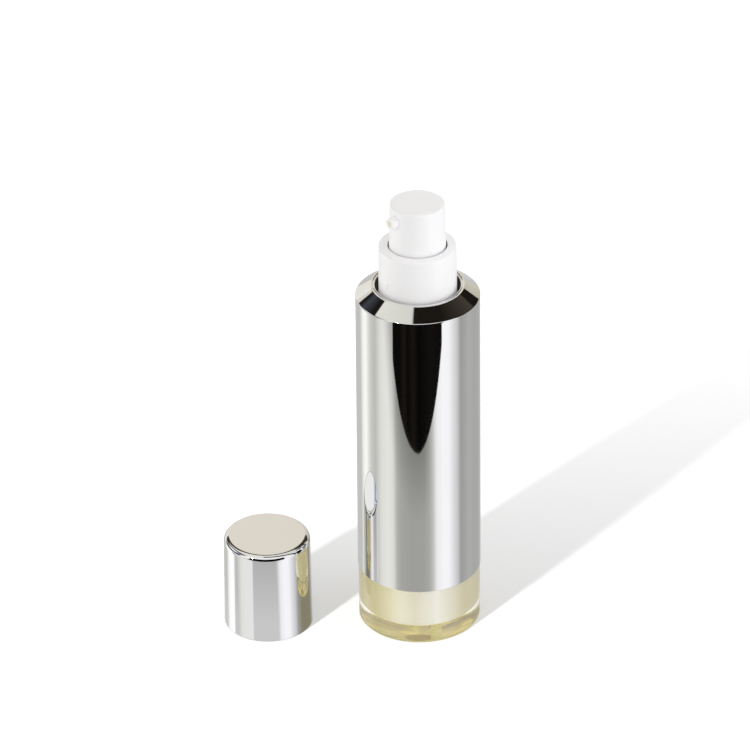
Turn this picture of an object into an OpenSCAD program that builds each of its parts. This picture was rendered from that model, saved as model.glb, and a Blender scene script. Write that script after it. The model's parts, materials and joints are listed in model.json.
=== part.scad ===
/* [Sleeve and foot] */
// Outer diameter of the silver sleeve at its shoulder
body_d = 32; // [31:0.1:38]
// Height of the shoulder's lower edge above the floor
shoulder_z = 96.7; // [90:0.1:130]
// Height of the sloping shoulder
chamfer_h = 2.8; // [2.4:0.1:3.6]
// Radius that the sleeve gains from its shoulder to its lower edge
sleeve_draft = 0.25; // [0:0.05:0.5]
// Wall of the silver sleeve
sleeve_wall = 0.7; // [0.5:0.05:0.9]
// Width of the flat rim ring round the collar
rim_w = 1; // [0.8:0.05:1.2]
// Open gap between the rim ring and the collar
rim_gap = 1; // [0.8:0.05:1.4]
// Depth of the rim's skirt, which stands on the inner bottle
rim_skirt_h = 4.1; // [3.9:0.1:5]
// Height of the clear foot below the sleeve
foot_h = 16.2; // [12:0.1:30]
// How far the foot lies inside the sleeve's lower edge
foot_inset = 0.2; // [0.1:0.05:0.4]
// Chamfer on the foot's lower edge
foot_edge = 0.45; // [0.2:0.05:0.8]
// Thickness of the clear floor
cup_floor = 4; // [2:0.1:6]
// Wall of the clear cup inside the sleeve
cup_wall = 1.9; // [1.4:0.1:2.4]
// Distance of the clear cup's lip below the shoulder's lower edge
cup_lip_drop = 4.5; // [3.5:0.1:8]

/* [Inner bottle] */
// Wall of the inner bottle
inner_wall = 1.2; // [1:0.05:1.5]
// Outside radius of the inner bottle's lower corner
inner_corner = 1.6; // [1.5:0.1:3]
// Outside radius of the inner bottle's shoulder corner
inner_shoulder_r = 0.9; // [0.5:0.1:1]
// Height of the neck above the inner bottle's shoulder
neck_h = 4.8; // [4.4:0.1:7]
// Wall of the neck
neck_wall = 1.45; // [1.2:0.05:1.6]
// Height of the snap bead round the neck
bead_h = 0.7; // [0.5:0.05:0.9]
// How far the snap bead stands out from the neck
bead_out = 0.3; // [0.2:0.05:0.35]
// Height of the snap bead's middle above the shoulder
bead_z = 2.15; // [1.9:0.05:2.6]
// Diameter of the air hole in the floors
vent_d = 2; // [1:0.1:3]
// Distance of the air hole from the axis
vent_off = 5; // [3:0.5:5.5]

/* [Collar] */
// Outer diameter of the white collar
collar_d = 20; // [19.6:0.1:23]
// Height of the white collar
collar_h = 15.5; // [15:0.1:20]
// Wall of the collar
collar_wall = 1; // [0.8:0.05:1.1]
// Thickness of the collar's top
collar_top_t = 1.2; // [0.8:0.1:1.6]
// Rounding of the collar's top edge
collar_edge = 0.5; // [0.3:0.05:0.8]
// Wall of the tube that guides the actuator
guide_wall = 0.7; // [0.5:0.05:0.8]
// Number of snap bumps that hold the cap
bump_count = 3; // [2:1:6]
// Radius of the round-ended bar that a snap bump is part of
bump_r = 0.9; // [0.7:0.05:1]
// Height of that bar between its round ends
bump_h = 0.8; // [0.4:0.1:1.2]
// How far a snap bump stands out from the collar
bump_out = 0.2; // [0.1:0.05:0.25]
// Height of the snap bumps' middle above the collar's foot
bump_z = 6.9; // [6:0.1:8]
// Number of ribs between the guide tube and the collar's wall
collar_rib_count = 6; // [4:1:12]
// Thickness of the ribs inside the collar
collar_rib_t = 0.6; // [0.4:0.05:0.8]

/* [Actuator and nozzle] */
// Diameter of the actuator at its top
actuator_d = 14.08; // [13:0.02:15]
// Radius that the actuator gains from top to skirt
actuator_draft = 0.25; // [0:0.05:0.3]
// Height of the actuator's top above the collar
actuator_rise = 12; // [10:0.1:15]
// Length of the actuator's skirt below the collar's top
skirt_depth = 2.3; // [1.5:0.1:2.5]
// Wall of the actuator
actuator_wall = 0.9; // [0.7:0.05:1.2]
// Thickness of the actuator's top
actuator_top_t = 1.2; // [0.9:0.1:1.4]
// Rounding of the actuator's top edge
actuator_edge = 0.45; // [0.3:0.05:0.8]
// Wall of the socket that holds the stem
socket_wall = 1; // [0.8:0.05:1.3]
// Length of stem held in the socket
socket_grip = 2; // [1.6:0.1:2.3]
// Thickness of the ribs inside the actuator
actuator_rib_t = 0.6; // [0.4:0.05:0.9]
// Number of ribs inside the actuator
actuator_rib_count = 4; // [3:1:6]
// Outer diameter of the nozzle
nozzle_d = 3.1; // [2.6:0.05:3.4]
// Bore of the nozzle
nozzle_bore_d = 1.85; // [1.4:0.05:2]
// How far the nozzle stands out from the actuator
nozzle_out = 2.05; // [1.5:0.05:2.5]
// Length of nozzle that is held inside the actuator
nozzle_in = 2.4; // [2:0.1:3]
// Distance of the nozzle's axis below the actuator's top
nozzle_drop = 3.2; // [3:0.05:4]
// Wall of the boss round the nozzle's seat
boss_wall = 0.8; // [0.6:0.05:1]

/* [Pump] */
// Travel of the pump
stroke = 5; // [3:0.1:5]
// Bore of the metering chamber
chamber_d = 8; // [7:0.1:8.6]
// Wall of the metering chamber
chamber_wall = 1.2; // [0.9:0.05:1.3]
// Thickness of the gasket
gasket_t = 0.8; // [0.5:0.05:1.2]
// Thickness of the housing's flange
flange_t = 1.2; // [0.9:0.05:1.5]
// Thickness of the stem guide's flange
guide_flange_t = 1; // [0.8:0.05:1.3]
// Depth of the plug skirt that seals the neck
plug_skirt_h = 2.6; // [2:0.1:3]
// Wall of the plug skirt
plug_skirt_wall = 0.9; // [0.7:0.05:1]
// Depth of the stem guide's plug in the chamber
plug_h = 1.8; // [1.4:0.1:3]
// Outer diameter of the stem
stem_d = 5.2; // [4.8:0.1:5.6]
// Bore of the stem
stem_bore_d = 2.4; // [2:0.1:2.6]
// Diameter of the stem's spring flange
stem_flange_d = 10; // [9.6:0.1:10.6]
// Thickness of the stem's spring flange
stem_flange_t = 0.8; // [0.6:0.05:1.2]
// Diameter of the piston rod
rod_d = 3.2; // [2.9:0.1:3.4]
// Bore of the piston rod
rod_bore_d = 1.6; // [1.2:0.1:1.8]
// Length of rod held in the stem
rod_grip = 7.7; // [5:0.1:9]
// Diameter of the piston rod's head
rod_head_d = 6; // [5:0.1:6.4]
// Thickness of the piston rod's head
rod_head_t = 1.2; // [0.9:0.05:1.6]
// Diameter of the ports in the piston rod
port_d = 0.6; // [0.4:0.05:0.7]
// Height of the pump piston
piston_h = 5.2; // [4.5:0.1:6.5]
// Height of each sealing lip of the pump piston
piston_lip_h = 1.3; // [1:0.05:1.6]
// Lost motion between the pump piston and its rod
piston_lag = 0.8; // [0.7:0.05:1]
// Diameter of the inlet ball
ball_d = 3; // [2.6:0.05:3.2]
// Travel of the inlet ball
ball_lift = 1; // [0.6:0.05:1.2]
// Diameter of the inlet hole
inlet_d = 1.8; // [1.4:0.05:2]
// Length of the inlet hole
inlet_h = 1.6; // [1:0.1:2.5]
// Thickness of the lip that keeps the inlet ball in its cage
cage_lip_t = 0.35; // [0.25:0.05:0.6]
// Number of ribs between the plug skirt and the chamber
housing_rib_count = 4; // [3:1:8]
// Diameter of the wire of the return spring
wire_d = 0.7; // [0.5:0.05:0.8]
// Mean diameter of the return spring
spring_d = 8.2; // [7.8:0.1:8.6]
// Number of turns of the return spring
spring_turns = 6; // [4:1:7]

/* [Follower piston] */
// Height of the follower piston
follower_h = 12; // [9:0.1:16]
// Thickness of the follower's walls
follower_wall = 1; // [0.8:0.05:1.3]
// Thickness of the follower's web and well floor
follower_web_t = 1.2; // [0.9:0.05:1.6]
// Number of ribs under the follower's web
follower_rib_count = 6; // [4:1:12]

/* [Cap] */
// Height of the cap
cap_h = 26; // [24:0.1:32]
// How far the cap's mouth lies inside the rim ring
cap_inset = 0.25; // [0:0.05:0.35]
// Radius that the cap loses from mouth to top
cap_draft = 0.4; // [0.2:0.05:0.5]
// Wall of the cap's shell
cap_wall = 0.8; // [0.6:0.05:0.9]
// Thickness of the cap's top
cap_top_t = 1; // [0.7:0.05:1.4]
// Rounding of the cap's top edge
cap_edge = 0.9; // [0.5:0.05:1.2]
// Thickness of the liner's top
liner_top_t = 0.8; // [0.6:0.05:1]
// Wall of the liner above the collar
liner_wall = 0.75; // [0.6:0.05:0.8]
// How far the liner lies inside the cap's mouth
liner_recess = 0.4; // [0.2:0.05:0.8]
// Depth of the liner's wide bore, which holds the collar
liner_grip_h = 12.5; // [12:0.1:13.5]
// Height of the liner's snap bead above the mouth
liner_bead_z = 1.6; // [1.2:0.1:2.4]
// Distance of the standing cap from the bottle's axis along X
cap_x = -22.5; // [-60:0.5:-22.5]
// Distance of the standing cap from the bottle's axis along Y
cap_y = -33.2; // [-60:0.1:-33.2]

/* [Hidden] */

// Smoothness of round forms, and of small round corners
$fn = 96;
arc_steps = 6;

// Clearances between pieces that meet
glue_gap = 0.1;
cup_gap = 0.2;
neck_gap = 0.15;
groove_gap = 0.15;
flange_gap = 0.2;
gasket_gap = 0.05;
plug_gap = 0.1;
run_gap = 0.08;
seal_gap = 0.05;
socket_gap = 0.05;
seat_gap = 0.05;
actuator_gap = 0.35;
cap_gap = 0.35;
liner_gap = 0.1;
collar_foot_gap = 0.2;
cage_gap = 0.25;
cage_lip_in = 0.2;
stem_top_gap = 0.25;
well_gap = 0.6;
play = 0.1;
end_gap = 0.5;
// Overrun of every cut
over = 0.5;

// Radii of the sleeve, the cup and the inner bottle
body_r = body_d / 2;
sleeve_r = body_r + sleeve_draft;
foot_r = sleeve_r - foot_inset;
cup_r = body_r - sleeve_wall - glue_gap;
cup_bore_r = cup_r - cup_wall;
cup_corner = inner_corner - cup_gap;
inner_r = cup_bore_r - cup_gap;
inner_bore_r = inner_r - inner_wall;
collar_r = collar_d / 2;
rim_bore_r = collar_r + rim_gap;
rim_r = rim_bore_r + rim_w;
collar_bore_r = collar_r - collar_wall;
neck_r = collar_bore_r - neck_gap;
neck_bore_r = neck_r - neck_wall;
vent_r = vent_d / 2;

// Heights from the floor up to the actuator
rim_z = shoulder_z + chamfer_h;
inner_top_z = rim_z - rim_skirt_h;
cup_lip_z = shoulder_z - cup_lip_drop;
neck_top_z = inner_top_z + neck_h;
flange_z = neck_top_z + gasket_t;
guide_z = flange_z + flange_t;
spring_z = guide_z + guide_flange_t;
collar_z = inner_top_z + collar_foot_gap;
collar_top_z = collar_z + collar_h;
actuator_top_z = collar_top_z + actuator_rise;
actuator_z = collar_top_z - skirt_depth;
nozzle_z = actuator_top_z - nozzle_drop;

// Radii of the actuator and of the pieces at its nozzle
actuator_r = actuator_d / 2;
actuator_skirt_r = actuator_r + actuator_draft;
actuator_bore_r = actuator_r - actuator_wall;
guide_bore_r = actuator_skirt_r + actuator_gap;
nozzle_r = nozzle_d / 2;
nozzle_bore_r = nozzle_bore_d / 2;
nozzle_seat_r = nozzle_r + socket_gap;
boss_r = nozzle_seat_r + boss_wall;
nozzle_tip_y = actuator_r + nozzle_out;
nozzle_root_y = actuator_r - nozzle_in;
nozzle_chamfer = nozzle_r / 9;

// Radii of the pump
chamber_r = chamber_d / 2;
housing_r = chamber_r + chamber_wall;
flange_r = collar_bore_r - flange_gap;
plug_skirt_r = neck_bore_r - plug_gap;
stem_r = stem_d / 2;
stem_bore_r = stem_bore_d / 2;
stem_flange_r = stem_flange_d / 2;
guide_hole_r = stem_r + run_gap;
socket_bore_r = stem_r + socket_gap;
socket_r = socket_bore_r + socket_wall;
rod_r = rod_d / 2;
rod_bore_r = rod_bore_d / 2;
rod_head_r = rod_head_d / 2;
rod_seat_r = rod_r + socket_gap;
port_r = port_d / 2;
piston_seal_r = chamber_r - seal_gap;
piston_bore_r = rod_r + run_gap;
piston_waist_r = piston_seal_r - piston_lip_h / 2;
lip_edge_h = piston_lip_h / 4;
ball_r = ball_d / 2;
inlet_r = inlet_d / 2;
cage_r = ball_r + cage_gap;
cage_lip_r = ball_r - cage_lip_in;
wire_r = wire_d / 2;
spring_r = spring_d / 2;

// Heights of the pump, from the stem's top down to the inlet
stem_top_z = nozzle_z - nozzle_r - stem_top_gap;
stem_bore_top_z = nozzle_z + nozzle_bore_r;
socket_z = stem_top_z - socket_grip;
stem_flange_z = socket_z - play - stem_flange_t;
spring_h = stem_flange_z - spring_z;
plug_z = guide_z - plug_h;
piston_top_z = plug_z - piston_lag - 2 * play;
stem_z = piston_top_z + piston_lag + play;
rod_top_z = stem_z + rod_grip;
piston_z = piston_top_z - piston_h;
rod_head_top_z = piston_z - seat_gap;
rod_head_z = rod_head_top_z - rod_head_t;
port_z = rod_head_top_z + port_r + seat_gap;
chamber_z = rod_head_z - stroke - end_gap;
cage_lip_z = chamber_z - cage_lip_t;
ball_z = cage_lip_z - sqrt(ball_r * ball_r - cage_lip_r * cage_lip_r) - cage_gap - ball_lift;
seat_apex_z = ball_z - seat_gap * sqrt(2) - ball_r * sqrt(2);
inlet_top_z = seat_apex_z + inlet_r;
cage_z = seat_apex_z + cage_r;
housing_z = inlet_top_z - inlet_h;

// Sizes of the follower piston
follower_r = inner_bore_r - seal_gap;
follower_body_r = follower_r - follower_wall / 2;
follower_rim_r = follower_body_r - follower_wall;
well_r = housing_r + well_gap;
well_wall_r = well_r + follower_wall;
inner_floor_z = cup_floor + inner_wall;
follower_z = inner_floor_z + seat_gap;
follower_top_z = follower_z + follower_h;
follower_lip_z = follower_z + follower_web_t / 2;
follower_lip_h = 2 * follower_wall;
web_z = follower_top_z - follower_lip_h - follower_web_t;
follower_rib_z = follower_z + follower_h / 4;

// Radii and heights of the cap
cap_r = rim_r - cap_inset;
cap_top_r = cap_r - cap_draft;
cap_bore_r = cap_r - cap_wall;
cap_bore_top_r = cap_top_r - cap_wall;
cap_bore_z = cap_h - cap_top_t;
liner_bore_r = collar_r + cap_gap;
liner_bead_in = cap_gap - bump_out / 2 - seal_gap;
liner_upper_r = cap_bore_top_r - liner_gap - liner_wall;
liner_top_z = cap_bore_z - liner_top_t;

// Shares of the height of a half round bead, from foot to foot
bead_shares = [0, 0.3, 0.7, 1];

// Points along a round corner, from one angle to the other
function arc(at, r, from, to) = [for (i = [0:arc_steps])
    at + r * [cos(from + (to - from) * i / arc_steps), sin(from + (to - from) * i / arc_steps)]];

// Radius of the drafted actuator at a height
function actuator_r_at(z) = actuator_r
    + actuator_draft * (actuator_top_z - z) / (actuator_top_z - actuator_z);

// A ring about the Z axis with a square section
module ring(outer, inner, h) {
    difference() {
        cylinder(r = outer, h = h);
        translate([0, 0, -over])
            cylinder(r = inner, h = h + 2 * over);
    }
}

// A half round bead outside or inside a wall of the given radius
module bead(r, out, h) {
    rotate_extrude()
        polygon([[r, h * bead_shares[0]], [r + out, h * bead_shares[1]],
            [r + out, h * bead_shares[2]], [r, h * bead_shares[3]]]);
}

// Upright ribs in a circle, from one radius to another
module ribs(count, inner, outer, t, z, h) {
    for (i = [0:count - 1])
        rotate([0, 0, 360 * i / count])
            translate([inner, -t / 2, z])
                cube([outer - inner, t, h]);
}

// The air hole through a floor
module vent() {
    translate([vent_off, 0, -over])
        cylinder(r = vent_r, h = inner_floor_z + 2 * over);
}

// Clear cup: a thick foot that shows, and a thinner wall inside the sleeve
module base_cup() {
    color([0.86, 0.83, 0.72])
        difference() {
            rotate_extrude()
                polygon([[0, 0], [foot_r - foot_edge, 0], [foot_r, foot_edge], [foot_r, foot_h],
                    [cup_r, foot_h], [cup_r, cup_lip_z], [0, cup_lip_z]]);
            rotate_extrude()
                polygon(concat([[0, cup_floor]],
                    arc([cup_bore_r - cup_corner, cup_floor + cup_corner], cup_corner, -90, 0),
                    [[cup_bore_r, cup_lip_z + over], [0, cup_lip_z + over]]));
            vent();
        }
}

// Inner bottle with its shoulder, its neck and the neck's snap bead
module inner_bottle() {
    bead_foot_z = inner_top_z + bead_z - bead_h / 2;
    color([0.88, 0.84, 0.70])
        difference() {
            union() {
                rotate_extrude()
                    polygon(concat([[0, cup_floor]],
                        arc([inner_r - inner_corner, cup_floor + inner_corner], inner_corner, -90, 0),
                        arc([inner_r - inner_shoulder_r, inner_top_z - inner_shoulder_r],
                            inner_shoulder_r, 0, 90),
                        [[neck_r, inner_top_z], [neck_r, neck_top_z], [0, neck_top_z]]));
                translate([0, 0, bead_foot_z])
                    bead(neck_r, bead_out, bead_h);
            }
            rotate_extrude()
                polygon(concat([[0, inner_floor_z]],
                    arc([inner_r - inner_corner, cup_floor + inner_corner],
                        inner_corner - inner_wall, -90, 0),
                    [[inner_bore_r, inner_top_z - inner_wall], [neck_bore_r, inner_top_z - inner_wall],
                    [neck_bore_r, neck_top_z + over], [0, neck_top_z + over]]));
            vent();
        }
}

// Silver sleeve with its sloping shoulder, flat rim and inner skirt
module outer_sleeve() {
    slope = chamfer_h / (body_r - rim_r);
    under_z = rim_z - rim_w;
    color([0.80, 0.80, 0.80])
        rotate_extrude()
            polygon([[sleeve_r, foot_h], [body_r, shoulder_z], [rim_r, rim_z], [rim_bore_r, rim_z],
                [rim_bore_r, inner_top_z], [rim_r, inner_top_z], [rim_r, under_z],
                [body_r - sleeve_wall, under_z - slope * (body_r - sleeve_wall - rim_r)],
                [sleeve_r - sleeve_wall, foot_h]]);
}

// White collar, which snaps over the neck, guides the actuator and takes the cap
module collar() {
    groove_h = bead_h + 2 * groove_gap;
    groove_z = inner_top_z + bead_z - groove_h / 2;
    top_under_z = collar_top_z - collar_top_t;
    color([0.96, 0.96, 0.97])
        difference() {
            union() {
                difference() {
                    union() {
                        rotate_extrude()
                            polygon(concat([[0, collar_z], [collar_r, collar_z]],
                                arc([collar_r - collar_edge, collar_top_z - collar_edge],
                                    collar_edge, 0, 90),
                                [[0, collar_top_z]]));
                        for (i = [0:bump_count - 1])
                            rotate([0, 0, 360 * i / bump_count - 90])
                                translate([collar_r + bump_out - bump_r, 0, collar_z + bump_z])
                                    rotate_extrude()
                                        polygon(concat(arc([0, -bump_h / 2], bump_r, -90, 0),
                                            arc([0, bump_h / 2], bump_r, 0, 90)));
                    }
                    translate([0, 0, collar_z - over])
                        cylinder(r = collar_bore_r, h = top_under_z - collar_z + over);
                    translate([0, 0, groove_z])
                        cylinder(r = collar_bore_r + bead_out - neck_gap + groove_gap, h = groove_h);
                }
                translate([0, 0, spring_z])
                    ring(guide_bore_r + guide_wall, guide_bore_r, top_under_z - spring_z + play);
                ribs(collar_rib_count, guide_bore_r + guide_wall / 2, collar_bore_r + play,
                    collar_rib_t, spring_z, top_under_z - spring_z + play);
            }
            translate([0, 0, spring_z - over])
                cylinder(r = guide_bore_r, h = collar_top_z - spring_z + 2 * over);
        }
}

// Gasket between the neck and the pump's flange
module neck_gasket() {
    color([0.95, 0.95, 0.93])
        translate([0, 0, neck_top_z])
            ring(neck_r - gasket_gap, neck_bore_r + gasket_gap, gasket_t);
}

// Pump housing: flange, plug skirt, metering chamber, ball cage, cone seat and inlet
module pump_housing() {
    skirt_z = flange_z - plug_skirt_h;
    rib_z = flange_z - plug_skirt_h / 2;
    color([0.93, 0.93, 0.90])
        difference() {
            union() {
                translate([0, 0, flange_z])
                    cylinder(r = flange_r, h = flange_t);
                translate([0, 0, skirt_z])
                    ring(plug_skirt_r, plug_skirt_r - plug_skirt_wall, plug_skirt_h + play);
                ribs(housing_rib_count, chamber_r + chamber_wall / 2, plug_skirt_r - plug_skirt_wall / 2,
                    plug_skirt_wall, rib_z, plug_skirt_h / 2 + play);
                rotate_extrude()
                    polygon([[0, housing_z], [housing_r - chamber_wall, housing_z],
                        [housing_r, housing_z + chamber_wall], [housing_r, guide_z], [0, guide_z]]);
            }
            translate([0, 0, chamber_z])
                cylinder(r = chamber_r, h = guide_z - chamber_z + over);
            translate([0, 0, cage_lip_z - over])
                cylinder(r = cage_lip_r, h = cage_lip_t + 2 * over);
            translate([0, 0, cage_z])
                cylinder(r = cage_r, h = cage_lip_z - cage_z);
            translate([0, 0, inlet_top_z])
                cylinder(r1 = inlet_r, r2 = cage_r, h = cage_z - inlet_top_z);
            translate([0, 0, housing_z - over])
                cylinder(r = inlet_r, h = inlet_h + 2 * over);
        }
}

// Steel ball that closes the inlet
module inlet_ball() {
    color([0.75, 0.76, 0.78])
        translate([0, 0, ball_z])
            sphere(r = ball_r);
}

// Guide disc that closes the chamber round the stem and seats the spring
module stem_guide() {
    color([0.93, 0.93, 0.90])
        difference() {
            union() {
                translate([0, 0, guide_z])
                    cylinder(r = flange_r, h = guide_flange_t);
                translate([0, 0, plug_z])
                    cylinder(r = chamber_r - plug_gap, h = plug_h + guide_flange_t / 2);
            }
            translate([0, 0, plug_z - over])
                cylinder(r = guide_hole_r, h = plug_h + guide_flange_t + 2 * over);
        }
}

// Return spring: one unbroken tube along a helix
spring_rings = 8;
spring_sides = 6;
spring_ring_count = spring_turns * spring_rings + 1;
spring_rise = (spring_h - 2 * wire_r - 2 * seal_gap) / spring_turns;

// Middle of the wire after a part of the turns
function spring_at(turn) = [spring_r * cos(360 * turn), spring_r * sin(360 * turn),
    spring_z + seal_gap + wire_r + spring_rise * turn];

// Point on the wire's outline at a turn and a side
function spring_point(turn, side) = let (a = 360 * side / spring_sides)
    spring_at(turn) + wire_r * cos(a) * [cos(360 * turn), sin(360 * turn), 0]
    + [0, 0, wire_r * sin(a)];

spring_points = [for (i = [0:spring_ring_count - 1]) for (s = [0:spring_sides - 1])
    spring_point(i / spring_rings, s)];
spring_faces = concat(
    [for (i = [0:spring_ring_count - 2]) for (s = [0:spring_sides - 1])
        let (n = (s + 1) % spring_sides, a = i * spring_sides)
        [a + s, a + n, a + spring_sides + s]],
    [for (i = [0:spring_ring_count - 2]) for (s = [0:spring_sides - 1])
        let (n = (s + 1) % spring_sides, a = i * spring_sides)
        [a + n, a + spring_sides + n, a + spring_sides + s]],
    [for (s = [1:spring_sides - 2]) [0, s + 1, s]],
    [for (s = [1:spring_sides - 2]) let (a = (spring_ring_count - 1) * spring_sides)
        [a, a + s, a + s + 1]]);

// Least gap of the spring to itself, measured between its own points a turn or more apart
spring_self_gap = min([for (i = [0:spring_ring_count - 1 - spring_rings])
    for (s = [0:spring_sides - 1]) for (j = [0:1]) for (t = [0:spring_sides - 1])
        let (k = min(i + spring_rings + j, spring_ring_count - 1))
        norm(spring_points[i * spring_sides + s] - spring_points[k * spring_sides + t])]);
echo(spring_self_gap = spring_self_gap);

module pump_spring() {
    color([0.72, 0.73, 0.75])
        polyhedron(points = spring_points, faces = spring_faces);
}

// Hollow stem with the flange that the spring pushes on
module pump_stem() {
    color([0.95, 0.95, 0.93])
        difference() {
            union() {
                translate([0, 0, stem_z])
                    cylinder(r = stem_r, h = stem_top_z - stem_z);
                translate([0, 0, stem_flange_z])
                    cylinder(r = stem_flange_r, h = stem_flange_t);
            }
            translate([0, 0, stem_z - over])
                cylinder(r = stem_bore_r, h = stem_top_z - stem_z + 2 * over);
            translate([0, 0, stem_z - over])
                cylinder(r = rod_seat_r, h = rod_grip + over);
        }
}

// Piston rod: a head, a hollow shank and two cross ports
module piston_rod() {
    color([0.95, 0.95, 0.93])
        difference() {
            union() {
                translate([0, 0, rod_head_z])
                    cylinder(r = rod_head_r, h = rod_head_t);
                translate([0, 0, rod_head_z])
                    cylinder(r = rod_r, h = rod_top_z - rod_head_z);
            }
            translate([0, 0, port_z - port_r - play])
                cylinder(r = rod_bore_r, h = rod_top_z - port_z + port_r + play + over);
            for (turn = [0, 90])
                rotate([0, 0, turn])
                    translate([0, rod_r + over, port_z])
                        rotate([90, 0, 0])
                            cylinder(r = port_r, h = 2 * (rod_r + over));
        }
}

// Pump piston with a sealing lip at each end and a bore that slides on the rod
module pump_piston() {
    lip_back_z = piston_z + piston_lip_h;
    lip_front_z = piston_top_z - piston_lip_h;
    color([0.90, 0.92, 0.94])
        rotate_extrude()
            polygon([[piston_bore_r, piston_z], [rod_head_r, piston_z],
                [rod_head_r, piston_z + lip_edge_h], [piston_seal_r - lip_edge_h, piston_z],
                [piston_seal_r, piston_z], [piston_seal_r, piston_z + lip_edge_h],
                [piston_waist_r, lip_back_z], [piston_waist_r, lip_front_z],
                [piston_seal_r, piston_top_z - lip_edge_h], [piston_seal_r, piston_top_z],
                [piston_seal_r - lip_edge_h, piston_top_z],
                [stem_r, piston_top_z - lip_edge_h], [stem_r, piston_top_z],
                [piston_bore_r, piston_top_z]]);
}

// Actuator: drafted shell, ribbed socket for the stem, and the nozzle's boss
module actuator() {
    top_under_z = actuator_top_z - actuator_top_t;
    color([0.97, 0.97, 0.98])
        difference() {
            union() {
                difference() {
                    rotate_extrude()
                        polygon(concat([[0, actuator_z], [actuator_skirt_r, actuator_z]],
                            arc([actuator_r - actuator_edge, actuator_top_z - actuator_edge],
                                actuator_edge, 0, 90),
                            [[0, actuator_top_z]]));
                    translate([0, 0, actuator_z - over])
                        cylinder(r = actuator_bore_r, h = top_under_z - actuator_z + over);
                }
                translate([0, 0, socket_z])
                    cylinder(r = socket_r, h = top_under_z - socket_z + play);
                ribs(actuator_rib_count, socket_r - play, actuator_bore_r + play, actuator_rib_t,
                    stem_top_z - play, top_under_z - stem_top_z + 2 * play);
                intersection() {
                    translate([0, 0, nozzle_z])
                        rotate([90, 0, 0])
                            cylinder(r = boss_r, h = actuator_r);
                    translate([0, 0, actuator_z])
                        cylinder(r = actuator_bore_r + play, h = actuator_top_z - actuator_z - play);
                }
            }
            translate([0, 0, socket_z - over])
                cylinder(r = socket_bore_r, h = socket_grip + over);
            translate([0, 0, socket_z])
                cylinder(r = stem_bore_r, h = stem_bore_top_z - socket_z);
            translate([0, 0, nozzle_z])
                rotate([90, 0, 0])
                    cylinder(r = nozzle_bore_r, h = actuator_r);
            translate([0, -nozzle_root_y, nozzle_z])
                rotate([90, 0, 0])
                    cylinder(r = nozzle_seat_r, h = actuator_r);
        }
}

// Nozzle tube, pushed into the actuator's boss
module nozzle_insert() {
    length = nozzle_tip_y - nozzle_root_y;
    color([0.97, 0.97, 0.98])
        translate([0, -nozzle_root_y, nozzle_z])
            rotate([90, 0, 0])
                rotate_extrude()
                    polygon([[nozzle_bore_r, 0], [nozzle_r, 0], [nozzle_r, length - nozzle_chamfer],
                        [nozzle_r - nozzle_chamfer, length], [nozzle_bore_r, length]]);
}

// Follower piston with two sealing lips and a well that clears the pump housing
module follower_piston() {
    lip_top_z = follower_lip_z + follower_lip_h;
    upper_lip_z = follower_top_z - follower_lip_h;
    color([0.92, 0.92, 0.88]) {
        rotate_extrude()
            polygon([[0, follower_z], [well_wall_r, follower_z], [well_wall_r, web_z],
                [follower_rim_r, web_z], [follower_rim_r, lip_top_z],
                [follower_r - follower_wall / 2, follower_lip_z], [follower_r, follower_lip_z],
                [follower_r, follower_lip_z + follower_wall / 2], [follower_body_r, lip_top_z],
                [follower_body_r, upper_lip_z], [follower_r, follower_top_z - follower_wall / 2],
                [follower_r, follower_top_z], [follower_r - follower_wall / 2, follower_top_z],
                [follower_rim_r, upper_lip_z], [well_wall_r, upper_lip_z],
                [well_r, upper_lip_z], [well_r, follower_z + follower_web_t],
                [0, follower_z + follower_web_t]]);
        ribs(follower_rib_count, well_wall_r - play, follower_rim_r + play,
            follower_wall, follower_rib_z, web_z - follower_rib_z + play);
    }
}

// Silver shell of the cap
module cap_shell() {
    color([0.80, 0.80, 0.80])
        translate([cap_x, cap_y, 0])
            rotate_extrude()
                polygon(concat([[cap_bore_r, 0], [cap_r, 0]],
                    arc([cap_top_r - cap_edge, cap_h - cap_edge], cap_edge, 0, 90),
                    [[0, cap_h], [0, cap_bore_z], [cap_bore_top_r, cap_bore_z]]));
}

// White liner of the cap, with the bead that snaps past the collar's bumps
module cap_liner() {
    bead_foot_z = liner_bead_z - bead_h / 2;
    outer_r = cap_bore_r - liner_gap;
    outer_top_r = cap_bore_top_r - liner_gap;
    color([0.96, 0.96, 0.97])
        translate([cap_x, cap_y, 0])
            difference() {
                rotate_extrude()
                    polygon([[0, liner_recess], [outer_r, liner_recess],
                        [outer_top_r, cap_bore_z], [0, cap_bore_z]]);
                difference() {
                    translate([0, 0, liner_recess - over])
                        cylinder(r = liner_bore_r, h = liner_grip_h - liner_recess + over);
                    translate([0, 0, bead_foot_z])
                        bead(liner_bore_r, -liner_bead_in, bead_h);
                }
                translate([0, 0, liner_grip_h - over])
                    cylinder(r = liner_upper_r, h = liner_top_z - liner_grip_h + over);
            }
}

base_cup();
inner_bottle();
outer_sleeve();
collar();
neck_gasket();
pump_housing();
inlet_ball();
stem_guide();
pump_spring();
pump_stem();
piston_rod();
pump_piston();
actuator();
nozzle_insert();
follower_piston();
cap_shell();
cap_liner();
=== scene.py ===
"""An airless pump bottle with a clear foot, a silver sleeve and a white pump, and its silver cap."""
import json
import math
import bmesh
import bpy
from mathutils import Matrix, Vector


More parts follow.
